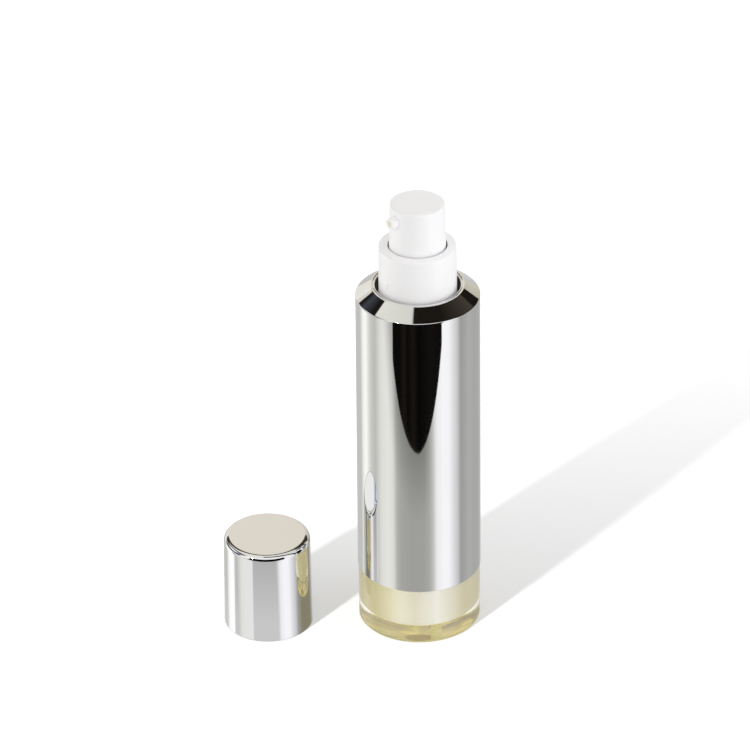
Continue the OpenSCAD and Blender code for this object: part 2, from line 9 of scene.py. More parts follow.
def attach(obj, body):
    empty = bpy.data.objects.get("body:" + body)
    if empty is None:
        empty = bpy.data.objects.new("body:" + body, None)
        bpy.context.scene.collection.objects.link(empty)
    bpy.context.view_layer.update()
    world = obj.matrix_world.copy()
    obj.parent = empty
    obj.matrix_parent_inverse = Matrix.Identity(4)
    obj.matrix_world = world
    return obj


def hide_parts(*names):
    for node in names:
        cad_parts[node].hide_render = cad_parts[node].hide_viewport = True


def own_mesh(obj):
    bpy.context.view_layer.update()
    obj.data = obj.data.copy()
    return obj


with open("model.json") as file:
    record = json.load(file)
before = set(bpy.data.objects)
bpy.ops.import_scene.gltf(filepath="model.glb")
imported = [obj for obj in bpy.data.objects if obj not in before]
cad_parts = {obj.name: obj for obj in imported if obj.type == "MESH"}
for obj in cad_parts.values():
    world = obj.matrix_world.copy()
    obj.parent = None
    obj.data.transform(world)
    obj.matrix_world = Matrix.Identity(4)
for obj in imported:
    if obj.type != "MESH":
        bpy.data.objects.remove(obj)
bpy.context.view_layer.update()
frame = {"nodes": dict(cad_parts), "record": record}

MM = 0.001
# Faces round a turned piece, a plain bar and a snap bump, and steps in a rounded corner
SEGMENTS = 192
BAR_SIDES = 64
BUMP_SIDES = 48
BUMP_RINGS = 32
ARC_STEPS = 6
# Distance of a support loop from a corner, and the least length that gets one, in millimetres
SUPPORT = 0.06
SUPPORT_LENGTH = 0.5
# Radii of the small roundings of moulded edges, in millimetres
EDGE_FINE = 0.08
EDGE_THIN = 0.10
EDGE_SMALL = 0.12
EDGE_ROUND = 0.15
# How far a cutting tool reaches past a piece, and how far a face may lie off the wall of a finish
CUT_PAST = 1.0
ON_WALL = 0.02
ON_HEIGHT = 0.03

# Camera, fitted to the photograph: the pixel where the bottle's axis meets the floor, and the view
AZIMUTH = math.radians(52.0)
ELEVATION = math.radians(30.63)
ROLL = math.radians(-0.66)
IMAGE_PX = 750
FOCAL_PX = 4500
SENSOR_MM = 36
BASE_PX = (419.6, 609.5)
DISTANCE = 1.1973

# Directions of the picture on the floor: to its right, and away from the camera
RIGHT = Vector((math.cos(AZIMUTH), math.sin(AZIMUTH), 0))
AWAY = Vector((-math.sin(AZIMUTH), math.cos(AZIMUTH), 0))

# Sleeve, in millimetres
SLEEVE_R = 16.25
BODY_R = 16.0
SLEEVE_WALL = 0.7
SHOULDER_Z = 96.7
SHOULDER_EDGE = 0.35
RIM_Z = 99.5
RIM_R = 12.0
RIM_BORE_R = 11.0
SKIRT_Z = 95.4
FOOT_H = 16.2
RIM_UNDER_Z = RIM_Z - (RIM_R - RIM_BORE_R)
RIM_GROOVE_W = 0.2
RIM_GROOVE_DEPTH = 0.05
# Depth from which the rim's bore carries painted shade, and how far inside the rim's edge that ends
RIM_BRIGHT = 0.3
RIM_INSET = 0.2

# Clear cup and inner bottle
FOOT_R = 16.05
FOOT_EDGE = 0.45
# Height of the gold line of painted reflection round the foot's lower edge
FOOT_LINE = 0.8
CUP_R = 15.2
CUP_BORE_R = 13.3
CUP_FLOOR = 4.0
CUP_LIP_Z = 92.2
CUP_CORNER = 1.4
INNER_R = 13.1
INNER_BORE_R = 11.9
INNER_CORNER = 1.6
INNER_SHOULDER = 0.9
INNER_WALL = 1.2
NECK_R = 8.85
NECK_BORE_R = 7.4
NECK_TOP_Z = 100.2
BEAD_Z = 97.55
BEAD_H = 0.7
BEAD_OUT = 0.3
# Share of the bead's height that each of its slopes takes
BEAD_SLOPE = 0.3
# Air hole through the floors of the cup and the bottle, and its distance from the axis
VENT_R = 1.0
VENT_OFF = 5.0
# How far the floor's coat climbs the corner of the cup's bore
COAT_CLIMB = 0.4
# Height from which the air hole's wall is coated
VENT_CLEAR = 0.05

# Collar
COLLAR_R = 10.0
COLLAR_Z = 95.6
COLLAR_TOP_Z = 111.1
COLLAR_EDGE = 0.5
COLLAR_BORE_R = 9.0
COLLAR_TOP_T = 1.2
GUIDE_BORE_R = 7.64
GUIDE_R = 8.34
GUIDE_Z = 103.2
GROOVE_R = 9.3
GROOVE_H = 1.0
BUMP_R = 0.9
BUMP_H = 0.8
BUMP_OUT = 0.2
BUMP_Z = 102.5
BUMP_COUNT = 3
# Room past a bump's ends for the tool that clears the bore, and depth from which the guide carries painted
# shade
BUMP_ROOM = 0.2
GUIDE_BRIGHT = 0.3

# Actuator and nozzle
ACTUATOR_R = 7.04
ACTUATOR_SKIRT_R = 7.29
ACTUATOR_BORE_R = 6.14
ACTUATOR_Z = 108.8
ACTUATOR_TOP_Z = 123.1
ACTUATOR_TOP_T = 1.2
ACTUATOR_EDGE = 0.45
SOCKET_R = 3.65
SOCKET_BORE_R = 2.65
SOCKET_Z = 116.1
SOCKET_TOP_Z = 118.1
STEM_BORE_R = 1.2
NOZZLE_Z = 119.9
NOZZLE_R = 1.55
NOZZLE_BORE_R = 0.925
NOZZLE_SEAT_R = 1.6
NOZZLE_TIP = 9.09
NOZZLE_ROOT = 4.64
NOZZLE_EDGE = 0.15
BOSS_R = 2.4
# How far the nozzle's boss reaches into the socket's wall and into the button's
BOSS_IN = 0.2
BOSS_OUT = 0.1

# Cap, which stands beside the bottle
CAP_AT = (-22.5, -33.2)
CAP_R = 11.75
CAP_TOP_R = 11.35
CAP_WALL = 0.8
CAP_H = 26.0
CAP_TOP_T = 1.0
CAP_EDGE = 1.4
# Height of the painted contact shadow on the cap's lower edge
CAP_PAINTED_SHADOW_H = 0.12


def rounded(corners):
    """Points of a closed outline whose corners (r, z, radius) are rounded with arcs."""
    points = []
    for i, (r, z, radius) in enumerate(corners):
        here = Vector((r, z))
        if radius == 0:
            points.append(here)
            continue
        before = (Vector(corners[i - 1][:2]) - here).normalized()
        after = (Vector(corners[(i + 1) % len(corners)][:2]) - here).normalized()
        half = before.angle(after) / 2
        centre = here + (before + after).normalized() * radius / math.sin(half)
        start = here + before * radius / math.tan(half) - centre
        end = here + after * radius / math.tan(half) - centre
        turn = start.angle_signed(end)
        for step in range(ARC_STEPS + 1):
            spin = Matrix.Rotation(-turn * step / ARC_STEPS, 2)
            points.append(centre + spin @ start)
    return points


def supported(points):
    """The same outline with a support loop near each end of its long sides."""
    result = []
    for i, here in enumerate(points):
        there = points[(i + 1) % len(points)]
        result.append(here)
        length = (there - here).length
        on_axis = here.x < SUPPORT and there.x < SUPPORT
        if length > SUPPORT_LENGTH and not on_axis:
            step = (there - here) * SUPPORT / length
            result += [here + step, there - step]
    return result


def link(name, mesh):
    """Puts a mesh into the scene as an object."""
    obj = bpy.data.objects.new(name, mesh)
    bpy.context.scene.collection.objects.link(obj)
    return obj


def smooth(mesh, degrees=32):
    """Shades a mesh smooth, with its real edges sharp."""
    for polygon in mesh.polygons:
        polygon.use_smooth = True
    mesh.set_sharp_from_angle(angle=math.radians(degrees))


def lathe(name, corners, at=(0, 0)):
    """Turns a closed outline of (r, z, radius) corners, in millimetres, about an upright axis."""
    points = supported(rounded(corners))
    bm = bmesh.new()
    rings = []
    for point in points:
        if point.x < SUPPORT / 2:
            rings.append([bm.verts.new((0, 0, point.y * MM))])
            continue
        rings.append([
            bm.verts.new((point.x * MM * math.cos(a), point.x * MM * math.sin(a), point.y * MM))
            for a in (2 * math.pi * s / SEGMENTS for s in range(SEGMENTS))
        ])
    for i, low in enumerate(rings):
        high = rings[(i + 1) % len(rings)]
        if len(low) == 1 and len(high) == 1:
            continue
        for s in range(SEGMENTS):
            n = (s + 1) % SEGMENTS
            if len(low) == 1:
                bm.faces.new((low[0], high[n], high[s]))
            elif len(high) == 1:
                bm.faces.new((low[s], low[n], high[0]))
            else:
                bm.faces.new((low[s], low[n], high[n], high[s]))
    bmesh.ops.recalc_face_normals(bm, faces=bm.faces)
    mesh = bpy.data.meshes.new(name)
    bm.to_mesh(mesh)
    bm.free()
    mesh.transform(Matrix.Translation((at[0] * MM, at[1] * MM, 0)))
    smooth(mesh)
    return link(name, mesh)


def rod(radius, start, end, sides=BAR_SIDES):
    """A plain round bar between two points in millimetres, used for holes and bosses."""
    start, end = Vector(start) * MM, Vector(end) * MM
    bm = bmesh.new()
    turn = (end - start).to_track_quat("Z", "Y").to_matrix().to_4x4()
    place = Matrix.Translation((start + end) / 2) @ turn
    bmesh.ops.create_cone(bm, cap_ends=True, segments=sides, radius1=radius * MM,
                          radius2=radius * MM, depth=(end - start).length, matrix=place)
    mesh = bpy.data.meshes.new("rod")
    bm.to_mesh(mesh)
    bm.free()
    return link("rod", mesh)


def round_bar(radius, height, at):
    """An upright bar with round ends, in millimetres, used for the snap bumps."""
    bm = bmesh.new()
    bmesh.ops.create_uvsphere(bm, u_segments=BUMP_SIDES, v_segments=BUMP_RINGS, radius=radius * MM)
    for vert in bm.verts:
        vert.co.z += math.copysign(height / 2, vert.co.z) * MM
        vert.co += Vector(at) * MM
    mesh = bpy.data.meshes.new("round_bar")
    bm.to_mesh(mesh)
    bm.free()
    return link("round_bar", mesh)


def combine(obj, tool, operation):
    """Cuts a tool out of a piece, or joins it on, and deletes the tool."""
    modifier = obj.modifiers.new("combine", "BOOLEAN")
    modifier.operation = operation
    modifier.solver = "EXACT"
    modifier.object = tool
    bpy.context.view_layer.update()
    result = bpy.data.meshes.new_from_object(obj.evaluated_get(bpy.context.evaluated_depsgraph_get()))
    obj.modifiers.clear()
    obj.data = result
    smooth(obj.data)
    bpy.data.objects.remove(tool)


class Nodes:
    """A short way to write a node tree."""

    def __init__(self, tree):
        self.tree = tree
        tree.nodes.clear()

    def add(self, kind, inputs=None, **settings):
        node = self.tree.nodes.new(kind)
        for key, value in settings.items():
            setattr(node, key, value)
        for key, value in (inputs or {}).items():
            if isinstance(value, bpy.types.NodeSocket):
                self.tree.links.new(value, node.inputs[key])
            else:
                node.inputs[key].default_value = value
        return node

    def math(self, operation, a, b=0.0):
        return self.add("ShaderNodeMath", {0: a, 1: b}, operation=operation).outputs[0]

    def mix(self, factor, a, b):
        node = self.add("ShaderNodeMix", {0: factor, 6: a, 7: b}, data_type="RGBA")
        return node.outputs[2]

    def ramp(self, value, stops):
        """Colour along a value, from stops of (value, colour)."""
        low, high = stops[0][0], stops[-1][0]
        stops = [((at - low) / (high - low), colour) for at, colour in stops]
        factor = self.add("ShaderNodeMapRange", {0: value, 1: low, 2: high}).outputs[0]
        node = self.add("ShaderNodeValToRGB", {0: factor})
        ramp = node.color_ramp
        while len(ramp.elements) > 1:
            ramp.elements.remove(ramp.elements[0])
        ramp.elements[0].position = stops[0][0]
        ramp.elements[0].color = (*stops[0][1], 1)
        for position, colour in stops[1:]:
            ramp.elements.new(position).color = (*colour, 1)
        return node.outputs[0]


def new_material(name):
    """A material and its empty node tree."""
    made = bpy.data.materials.new(name)
    made.use_nodes = True
    return made, Nodes(made.node_tree)


def place_mm(n):
    """Socket with the place on the object, in millimetres."""
    where = n.add("ShaderNodeTexCoord").outputs["Object"]
    return n.add("ShaderNodeVectorMath", {0: where, 1: (1 / MM,) * 3}, operation="MULTIPLY").outputs[0]


def picture_axes(n, vector):
    """Sockets with the parts of a vector to the picture's right, away from the camera, and up."""
    def along(axis):
        node = n.add("ShaderNodeVectorMath", {0: vector, 1: tuple(axis)}, operation="DOT_PRODUCT")
        return node.outputs["Value"]
    return along(RIGHT), along(AWAY), along(Vector((0, 0, 1)))


def noise(n, where, scale, detail=2.0):
    """Socket with soft random grey."""
    return n.add("ShaderNodeTexNoise", {"Vector": where, "Scale": scale, "Detail": detail}).outputs[0]


def spread(n, factor, low, high):
    """Spreads a value from 0 to 1 over another span."""
    return n.add("ShaderNodeMapRange", {0: factor, 3: low, 4: high}).outputs[0]


def bump(n, height, strength, distance_mm):
    """Socket with the normals of a fine relief."""
    inputs = {"Height": height, "Strength": strength, "Distance": distance_mm * MM}
    return n.add("ShaderNodeBump", inputs).outputs[0]


def finish_surface(n, inputs):
    """Ends a tree with a Principled shader."""
    shader = n.add("ShaderNodeBsdfPrincipled", inputs)
    n.add("ShaderNodeOutputMaterial", {0: shader.outputs[0]})


def silver_material(name, colour):
    """Mirror-bright metallised plastic with the faintest waviness and a few dull smudges."""
    made, n = new_material(name)
    where = place_mm(n)
    smudge = noise(n, where, 0.12, 3.0)
    grain = noise(n, where, 0.35, 2.0)
    finish_surface(n, {
        "Base Color": n.mix(spread(n, smudge, 0.0, 1.0), (*colour, 1), (*[c * 0.97 for c in colour], 1)),
        "Metallic": 1.0,
        "Roughness": spread(n, smudge, 0.02, 0.05),
        "Normal": bump(n, grain, 0.05, 0.02),
    })
    return made


# Painted light: a glow on the white plastic and, below, on the champagne coat
WHITE_PAINTED_GLOW = 0.06
# More of it low on the collar, as painted bounce light from the bright rim close by
LOW_PAINTED_GLOW = 0.20
LOW_PAINTED_GLOW_Z = (96.0, 101.5)
# And more on the side that faces the picture's left, as painted light
SIDE_PAINTED_GLOW = ((-1.0, 0.13), (-0.75, 0.07), (-0.5, 0.015), (0.1, 0.03), (0.35, 0.0))
# Painted glow of the champagne coat
COAT_PAINTED_GLOW = 0.55


def white_material(name, colour, roughness):
    """Smooth moulded plastic with a little light through it, and a painted glow: more low on the collar and
    on its left.
    """
    made, n = new_material(name)
    where = place_mm(n)
    mottle = noise(n, where, 0.3, 3.0)
    texture = noise(n, where, 9.0, 2.0)
    _, _, height = picture_axes(n, where)
    facing, _, _ = picture_axes(n, n.add("ShaderNodeNewGeometry").outputs["Normal"])
    # Painted light: glow by the side the surface faces and by its height
    side_painted_glow = n.ramp(facing, [(at, (painted_glow,) * 3) for at, painted_glow in SIDE_PAINTED_GLOW])
    low_painted_glow = n.add("ShaderNodeMapRange", {
        0: height, 1: LOW_PAINTED_GLOW_Z[0], 2: LOW_PAINTED_GLOW_Z[1], 3: LOW_PAINTED_GLOW, 4: WHITE_PAINTED_GLOW}).outputs[0]
    finish_surface(n, {
        "Base Color": n.mix(mottle, (*colour, 1), (*[c * 0.985 for c in colour], 1)),
        "Roughness": spread(n, mottle, roughness * 0.85, roughness * 1.15),
        "IOR": 1.49,
        "Subsurface Weight": 0.12,
        "Subsurface Radius": (1.0, 0.9, 0.8),
        "Subsurface Scale": 0.0012,
        "Emission Color": (*colour, 1),
        "Emission Strength": n.math("ADD", low_painted_glow, side_painted_glow),
        "Normal": bump(n, texture, 0.08, 0.01),
    })
    return made


def champagne_material():
    """Pearl champagne plastic: fine flakes under a glossy skin."""
    made, n = new_material("champagne")
    where = place_mm(n)
    flakes = n.add("ShaderNodeTexVoronoi", {"Vector": where, "Scale": 14.0}).outputs["Distance"]
    drift = noise(n, where, 0.1, 2.0)
    finish_surface(n, {
        "Base Color": n.mix(drift, (0.77, 0.71, 0.55, 1), (0.73, 0.66, 0.49, 1)),
        "Metallic": 0.15,
        "Roughness": spread(n, flakes, 0.32, 0.42),
        "Coat Weight": 0.3,
        "Coat Roughness": 0.08,
        "Normal": bump(n, flakes, 0.05, 0.01),
    })
    return made


# Painted shading and reflection of the coat, from the picture's left to its right, as a share of its radius
COAT_PAINTED_SHADING = (
    (-0.80, (0.52, 0.47, 0.27)), (-0.60, (0.60, 0.56, 0.37)), (-0.38, (0.70, 0.67, 0.55)),
    (-0.10, (0.63, 0.60, 0.49)), (0.30, (0.72, 0.71, 0.66)), (0.80, (0.52, 0.48, 0.34)),
)
# Olive painted shade and reflection of the coat at the floor, seen through the clear foot, and its painted
# glow
OLIVE_PAINTED_SHADE_AND_REFLECTION = ((-0.80, (0.46, 0.42, 0.19)), (0.0, (0.58, 0.53, 0.26)), (0.80, (0.50, 0.46, 0.22)))
OLIVE_PAINTED_GLOW = 0.92
# Round moulding mark near the middle of the bottle's floor
GATE_AT = (1.4, -1.1)
GATE_R = 2.6
GATE_SHADE = (0.34, 0.29, 0.13)


def coat_material(name, painted_shading_stops, painted_glow=COAT_PAINTED_GLOW, gate_r=0.0):
    """The champagne bottle bonded to the clear cup's bore without a gap, coloured with painted shading and
    glow.
    """
    made, n = new_material(name)
    where = place_mm(n)
    flakes = n.add("ShaderNodeTexVoronoi", {"Vector": where, "Scale": 14.0}).outputs["Distance"]
    across, _, _ = picture_axes(n, where)
    drift = noise(n, where, 0.1, 2.0)
    # Painted shading and reflection, by the place across the picture
    painted_shading = n.ramp(n.math("DIVIDE", across, CUP_BORE_R), painted_shading_stops)
    colour = n.mix(spread(n, drift, 0.0, 0.12), painted_shading, (0.72, 0.66, 0.45, 1))
    flat = n.add("ShaderNodeVectorMath", {0: where, 1: (1, 1, 0)}, operation="MULTIPLY").outputs[0]
    off_gate = n.add("ShaderNodeVectorMath", {0: flat, 1: (*GATE_AT, 0)}, operation="DISTANCE")
    is_gate = n.math("LESS_THAN", off_gate.outputs["Value"], gate_r)
    colour = n.mix(is_gate, colour, (*GATE_SHADE, 1))
    finish_surface(n, {
        "Base Color": colour,
        "Roughness": spread(n, flakes, 0.5, 0.6),
        "Specular IOR Level": 0.1,
        "Emission Color": colour,
        "Emission Strength": painted_glow,
    })
    return made


def acrylic_material():
    """Clear, thick acrylic."""
    made, n = new_material("clear_acrylic")
    where = place_mm(n)
    haze = noise(n, where, 0.4, 2.0)
    finish_surface(n, {
        "Base Color": (0.985, 0.98, 0.95, 1),
        "Roughness": spread(n, haze, 0.0, 0.02),
        "IOR": 1.49,
        "Transmission Weight": 1.0,
    })
    return made


def plain_material(name, colour, roughness, metallic=0.0, painted_glow=0.0):
    """Inner pieces: uncoloured mouldings, rubber and drawn steel, and painted shade in bores and gaps; any
    glow is painted light.
    """
    made, n = new_material(name)
    where = place_mm(n)
    mottle = noise(n, where, 0.8, 3.0)
    finish_surface(n, {
        "Base Color": n.mix(mottle, (*colour, 1), (*[c * 0.93 for c in colour], 1)),
        "Metallic": metallic,
        "Roughness": spread(n, mottle, roughness * 0.8, roughness * 1.2),
        "Emission Color": (*colour, 1),
        "Emission Strength": painted_glow,
        "Normal": bump(n, noise(n, where, 6.0), 0.1, 0.01),
    })
    return made


MATERIALS = {
    "clear_acrylic": acrylic_material(),
    "champagne": champagne_material(),
    "silver_sleeve": silver_material("silver_sleeve", (0.86, 0.86, 0.85)),
    "silver_cap": silver_material("silver_cap", (0.86, 0.86, 0.86)),
    "white_plastic": white_material("white_plastic", (0.90, 0.895, 0.90), 0.3),
    "natural_plastic": plain_material("natural_plastic", (0.80, 0.80, 0.74), 0.45),
    "steel": plain_material("steel", (0.62, 0.62, 0.63), 0.25, 1.0),
    "gasket": plain_material("gasket", (0.75, 0.75, 0.72), 0.7),
}
# Painted light on the coat: shading and glow on the bore, darker shade below, in the air hole and at the foot
CHAMPAGNE_COAT_PAINTED_LIGHT = coat_material("champagne_coat_painted_light", COAT_PAINTED_SHADING)
FLOOR_COAT_PAINTED_LIGHT = coat_material("floor_coat_painted_light", OLIVE_PAINTED_SHADE_AND_REFLECTION, OLIVE_PAINTED_GLOW, GATE_R)
VENT_PAINTED_LIGHT = coat_material("vent_painted_light", OLIVE_PAINTED_SHADE_AND_REFLECTION)
EDGE_PAINTED_REFLECTION = coat_material("edge_painted_reflection", OLIVE_PAINTED_SHADE_AND_REFLECTION, 0.0)
# Painted shade for the collar's guide and the silver bores, and a painted glow in the nozzle's bore
GUIDE_PAINTED_SHADE = plain_material("guide_painted_shade", (0.42, 0.41, 0.38), 0.6)
BEIGE_BORE_PAINTED_GLOW = plain_material("beige_bore_painted_glow", (0.82, 0.79, 0.72), 0.6, painted_glow=0.22)
SILVER_PAINTED_SHADE = plain_material("silver_painted_shade", (0.035, 0.03, 0.022), 0.5, 0.6)


def dress(obj, slot, body, *nodes):
    """Gives a new piece its finish and its body, and hides the CAD nodes that it stands for."""
    obj.data.materials.clear()
    obj.data.materials.append(MATERIALS[slot])
    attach(obj, body)
    if nodes:
        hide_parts(*nodes)


def coat(obj, material, picks):
    """Gives the faces that a test picks, by their middle in millimetres, another finish."""
    obj.data.materials.append(material)
    last = len(obj.data.materials) - 1
    for polygon in obj.data.polygons:
        middle = Vector(polygon.center) / MM
        if picks(math.hypot(middle.x, middle.y), middle.z):
            polygon.material_index = last


def make_camera():
    """The photograph's camera, with its roll, from where the bottle's axis meets the floor."""
    up = Vector((0, 0, 1))
    back = -AWAY * math.cos(ELEVATION) + up * math.sin(ELEVATION)
    level_up = AWAY * math.sin(ELEVATION) + up * math.cos(ELEVATION)
    right = RIGHT * math.cos(ROLL) + level_up * math.sin(ROLL)
    top = -RIGHT * math.sin(ROLL) + level_up * math.cos(ROLL)
    off_x = (BASE_PX[0] - IMAGE_PX / 2) / FOCAL_PX
    off_y = -(BASE_PX[1] - IMAGE_PX / 2) / FOCAL_PX
    place = -(right * off_x + top * off_y - back) * DISTANCE
    camera = bpy.data.objects.new("camera", bpy.data.cameras.new("camera"))
    bpy.context.scene.collection.objects.link(camera)
    camera.data.sensor_width = SENSOR_MM
    camera.data.lens = SENSOR_MM * FOCAL_PX / IMAGE_PX
    camera.data.clip_start = 0.01
    camera.data.clip_end = 50
    turn = Matrix((right, top, back)).transposed().to_4x4()
    camera.matrix_world = Matrix.Translation(place) @ turn
    bpy.context.scene.camera = camera


def between(n, value, low, high, soft=0.03):
    """1 where a value lies between two limits, with soft edges."""
    up = n.add("ShaderNodeMapRange", {0: value, 1: low - soft, 2: low + soft}).outputs[0]
    down = n.add("ShaderNodeMapRange", {
        0: value, 1: high - soft, 2: high + soft, 3: 1.0, 4: 0.0}).outputs[0]
    return n.math("MULTIPLY", up, down)


# What the silver reflects of the studio, as plain grey or coloured levels
ROOM_DARK = (0.012, 0.010, 0.008)
ROOM_PANEL = (0.055, 0.06, 0.075)
ROOM_WARM = (0.058, 0.047, 0.038)
SIDE_WHITE = (1.12, 1.12, 1.12)
SIDE_BLUE = (0.30, 0.46, 0.75)
FRONT_WHITE = (1.0, 1.0, 1.0)
# Height to which the front is dark, and how far to the sides
FRONT_DARK = 0.50
FRONT_SPREAD = 1.0
# A direction looks behind the object or before it when its part away from the camera is past these
BEHIND_Y = 0.05
BEFORE_Y = -0.30
# Least part that a direction is divided by
LEAST_PART = 0.02
# Top of the backdrop, its fall to the sides, and the height below which it closes all round
BACKDROP_TOP = 0.70
BACKDROP_FALL = 0.35
HORIZON = 0.12
# Panel on the left: where it begins, its heights, and where its white part ends
SIDE_X = -0.70
SIDE_Z = (0.40, 0.62)
SIDE_FROM_Y = -0.05
SIDE_WHITE_Y = (-2.0, 0.03)
SIDE_END_SOFT = 0.01
SIDE_BLEND = 0.04
# Pale panel overhead, and the dark gap between it and the backdrop
OVERHEAD = (0.90, 0.89, 0.85)
OVERHEAD_X = (-0.5, 0.43)
GAP_X = 0.6
GAP_TOP = 1.5
# Light on the object from the picture's left to its right, and the share that it loses towards the top
AMBIENT = ((-1.0, (0.77, 0.76, 0.73)), (0.0, (0.86, 0.86, 0.855)), (1.0, (0.98, 0.98, 1.0)))
AMBIENT_UP = 0.20

# The ceiling from left to right, by the slope of a direction away from straight up
CEILING = (
    (-3.60, ROOM_DARK), (-1.88, ROOM_DARK), (-1.86, (0.80, 0.79, 0.72)), (-1.48, (0.76, 0.74, 0.66)),
    (-1.46, ROOM_DARK), (-1.36, ROOM_DARK),
    (-1.33, (0.02, 0.022, 0.026)), (-1.18, ROOM_PANEL), (-1.05, (0.035, 0.038, 0.045)), (-0.90, ROOM_DARK),
    (-0.80, ROOM_DARK), (-0.795, (0.86, 0.85, 0.78)), (-0.10, (0.76, 0.75, 0.70)), (-0.095, ROOM_DARK),
    (0.45, ROOM_DARK), (1.15, ROOM_WARM), (1.235, ROOM_WARM), (1.245, ROOM_DARK), (1.80, ROOM_DARK),
)

# The backdrop behind the scene from left to right
BACKDROP = (
    (-0.80, (0.93, 0.93, 0.92)), (-0.30, (0.86, 0.83, 0.75)), (0.0, (0.832, 0.78, 0.687)),
    (0.30, (0.70, 0.67, 0.57)), (0.80, (0.56, 0.54, 0.44)),
)


def slope(n, part, along):
    """How steeply a direction leaves an axis: one part over the part along it, which stays above 0."""
    return n.math("DIVIDE", part, n.math("MAXIMUM", along, LEAST_PART))


def make_world():
    """White to the camera, an even pale light on the object, and a studio in the reflections."""
    world = bpy.data.worlds.new("studio")
    bpy.context.scene.world = world
    world.use_nodes = True
    n = Nodes(world.node_tree)
    ray = n.add("ShaderNodeLightPath").outputs
    direction = n.add("ShaderNodeTexCoord").outputs["Generated"]
    x, y, z = picture_axes(n, direction)
    over_x = slope(n, x, z)
    behind_x = slope(n, x, y)
    behind_z = slope(n, z, y)
    is_behind = n.math("GREATER_THAN", y, BEHIND_Y)
    fall = n.math("MULTIPLY", n.math("ABSOLUTE", behind_x), BACKDROP_FALL)
    edge = n.math("SUBTRACT", BACKDROP_TOP, fall)
    is_backdrop = n.math("MULTIPLY", n.math("LESS_THAN", behind_z, edge), is_behind)
    is_backdrop = n.math("MAXIMUM", is_backdrop, n.math("LESS_THAN", z, HORIZON))
    side = n.mix(between(n, y, *SIDE_WHITE_Y, SIDE_BLEND), (*SIDE_WHITE, 1), (*SIDE_BLUE, 1))
    is_side = n.math("MULTIPLY", n.math("LESS_THAN", x, SIDE_X), between(n, z, *SIDE_Z, SIDE_END_SOFT))
    is_side = n.math("MULTIPLY", is_side, n.math("GREATER_THAN", y, SIDE_FROM_Y))
    is_front = n.math("LESS_THAN", y, BEFORE_Y)
    before_x = slope(n, n.math("ABSOLUTE", x), n.math("MULTIPLY", y, -1.0))
    is_table = n.math("MULTIPLY", is_front, n.math("LESS_THAN", z, FRONT_DARK))
    is_table = n.math("MULTIPLY", is_table, n.math("LESS_THAN", before_x, FRONT_SPREAD))
    is_over = n.math("MULTIPLY", is_behind, between(n, over_x, *OVERHEAD_X))
    is_gap = n.math("MULTIPLY", is_behind, n.math("LESS_THAN", n.math("ABSOLUTE", behind_x), GAP_X))
    is_gap = n.math("MULTIPLY", is_gap, n.math("LESS_THAN", behind_z, GAP_TOP))
    colour = n.mix(is_over, n.ramp(over_x, CEILING), (*OVERHEAD, 1))
    colour = n.mix(is_gap, colour, (*ROOM_WARM, 1))
    colour = n.mix(is_backdrop, colour, n.ramp(behind_x, BACKDROP))
    colour = n.mix(is_side, colour, side)
    colour = n.mix(is_front, colour, (*FRONT_WHITE, 1))
    colour = n.mix(is_table, colour, (*TABLE_DARK[0][1], 1))
    ambient = n.mix(n.math("MULTIPLY", z, AMBIENT_UP), n.ramp(x, AMBIENT), (0, 0, 0, 1))
    colour = n.mix(ray["Is Glossy Ray"], ambient, colour)
    straight = n.math("MAXIMUM", ray["Is Camera Ray"], ray["Is Transmission Ray"])
    colour = n.mix(straight, colour, (1, 1, 1, 1))
    background = n.add("ShaderNodeBackground", {"Color": colour, "Strength": 1.0})
    n.add("ShaderNodeOutputWorld", {0: background.outputs[0]})


# Levels of the floor as the silver sees it, by the direction in which it looks along the floor:
# degrees from the camera's side, positive to the picture's right
WARM = (1.0, 1.0, 0.965)
COOL = (0.985, 0.985, 1.02)
NEUTRAL = (1.0, 1.0, 0.99)
FLOOR_SECTORS = (
    (-180, 0.62, WARM), (-153, 0.58, WARM), (-135, 0.62, WARM), (-124, 1.02, WARM), (-114, 1.12, WARM),
    (-106, 0.84, WARM), (-98, 0.66, WARM), (-88, 0.58, WARM), (-74, 0.85, WARM), (-60, 0.91, WARM),
    (-50, 0.84, WARM), (-42, 0.51, WARM), (-34, 0.435, WARM), (-15, 0.40, WARM), (8, 0.405, WARM),
    (18, 0.46, WARM), (25, 0.60, WARM), (33, 0.98, COOL), (45, 1.10, COOL), (57, 1.08, COOL),
    (66, 0.88, COOL), (76, 0.68, COOL), (84, 0.39, NEUTRAL), (95, 0.43, NEUTRAL), (107, 0.485, NEUTRAL),
    (125, 0.44, NEUTRAL), (150, 0.46, NEUTRAL), (168, 0.68, NEUTRAL), (180, 0.62, WARM),
)
# Least level round the cap, which stands nearer to the lit floor: close to its foot and farther out
CAP_NEAR = (0.011, 0.665)
CAP_FAR = (0.046, 0.52)
CAP_REACH = 0.018
# How far round the cap that holds, and what lies beyond, next to the bottle's foot: an olive painted
# reflection of the foot and its shadow
CAP_GREY_TO = 72
CAP_FOOT_PAINTED_REFLECTION = (0.27, 0.25, 0.17)
CAP_FOOT_PAINTED_REFLECTION_AT = (90, 145)
# Bright streaks on the cap's left: from, to, level
CAP_STREAKS = ((-122, -96, 1.16), (-62, -37, 0.90))
# Softness of the ends of a streak and of a wide fade, and of the dark's sides, in degrees
STREAK_SOFT = 3.0
FADE_SOFT = 8.0
DARK_SOFT = 0.8
